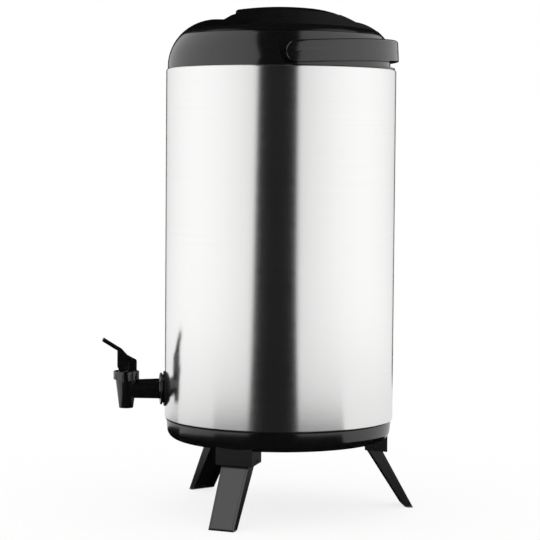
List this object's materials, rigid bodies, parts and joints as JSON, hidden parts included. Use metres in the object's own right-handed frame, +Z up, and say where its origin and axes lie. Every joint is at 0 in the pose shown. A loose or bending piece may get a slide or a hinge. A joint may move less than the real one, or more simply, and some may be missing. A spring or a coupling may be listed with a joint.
{
  "type": "insulated beverage dispenser",
  "caption": "Insulated steel drink barrel on folding legs, with a black screw lid, a folding bail handle and a push-lever tap low on its wall.",
  "frame": {"origin": "on the floor that the three feet stand on, where the barrel's axis meets it", "axes": "+Z up along the barrel's axis, -Y towards the tap, +Y towards the folded bail, +X to the right of someone facing the tap from behind the barrel"},
  "size_m": [0.2608, 0.3291, 0.5261],
  "materials": {
    "shell_steel": "fine brushed grain running round the barrel",
    "liner_steel": "bright drawn stainless",
    "gloss_black": "glossy moulded",
    "satin_black": "satin moulded",
    "black_rubber": "smooth rubber",
    "clear_silicone": "milky silicone",
    "foam": "rigid polyurethane foam",
    "pin_steel": "bright steel",
    "screw_steel": "bright steel",
    "white_plastic": "plain moulded"
  },
  "bodies": {
    "root": {"outer_shell": "shell_steel", "inner_liner": "liner_steel", "wall_foam": "foam", "base": "gloss_black", "foam_plug": "satin_black", "bracket_screws": "screw_steel", "leg_bracket_right": "satin_black", "leg_bracket_left": "satin_black", "leg_bracket_back": "satin_black", "leg_pin_right": "pin_steel", "leg_pin_left": "pin_steel", "leg_pin_back": "pin_steel", "tap_body": "gloss_black", "tap_outer_washer": "black_rubber", "tap_inner_washer": "clear_silicone", "tap_nut": "white_plastic", "tap_sleeve": "white_plastic", "tap_bonnet": "gloss_black", "collar": "gloss_black", "neck_gasket": "clear_silicone"},
    "bail": {"bail_handle": "gloss_black", "bail_screws": "screw_steel", "bail_washers": "white_plastic"},
    "lid_rise": {"lid_seal": "clear_silicone"},
    "lid": {"lid_cover": "gloss_black", "lid_plug": "satin_black", "lid_foam": "foam", "vent_tube": "satin_black"},
    "vent": {"vent_plug": "black_rubber"},
    "valve": {"tap_stem": "white_plastic", "seat_cup": "clear_silicone"},
    "lever": {"tap_lever": "gloss_black", "lever_pin": "pin_steel"},
    "leg_right": {"leg_right": "gloss_black"},
    "leg_left": {"leg_left": "gloss_black"},
    "leg_back": {"leg_back": "gloss_black"}
  },
  "joints": [
    {"name": "bail_swing", "type": "hinge", "parent": "root", "child": "bail", "pos_m": [0, 0, 0.4747], "axis": [-1, 0, 0], "range_deg": [-110, 0]},
    {"name": "lid_lift", "type": "slide", "parent": "root", "child": "lid_rise", "axis": [0, 0, 1], "range_m": [0, 0.036]},
    {"name": "lid_turn", "type": "hinge", "parent": "lid_rise", "child": "lid", "pos_m": [0, 0, 0.4955], "axis": [0, 0, 1], "range_deg": [0, 540]},
    {"name": "vent_pull", "type": "slide", "parent": "lid", "child": "vent", "axis": [0, 0, 1], "range_m": [0, 0.02]},
    {"name": "stem_lift", "type": "slide", "parent": "root", "child": "valve", "axis": [0, 0, 1], "range_m": [0, 0.00346], "stiffness_N_per_m": 60, "springref_m": -0.005, "deforming": ["seat_cup"]},
    {"name": "lever_press", "type": "hinge", "parent": "valve", "child": "lever", "pos_m": [0, -0.1606, 0.15035], "axis": [1, 0, 0], "range_deg": [0, 42]},
    {"name": "leg_right_fold", "type": "hinge", "parent": "root", "child": "leg_right", "pos_m": [0.08685, -0.05116, 0.0652], "axis": [0.5075, 0.8616, 0], "range_deg": [0, 119]},
    {"name": "leg_left_fold", "type": "hinge", "parent": "root", "child": "leg_left", "pos_m": [-0.08685, -0.05116, 0.0652], "axis": [0.5075, -0.8616, 0], "range_deg": [0, 119]},
    {"name": "leg_back_fold", "type": "hinge", "parent": "root", "child": "leg_back", "pos_m": [0, 0.1008, 0.0652], "axis": [-1, 0, 0], "range_deg": [0, 119]}
  ],
  "couplings": [
    {"joint": "lid_lift", "follows": "lid_turn", "m_per_rad": 0.0038197},
    {"joint": "lever_press", "follows": "stem_lift", "rad_per_m": 211.8}
  ]
}
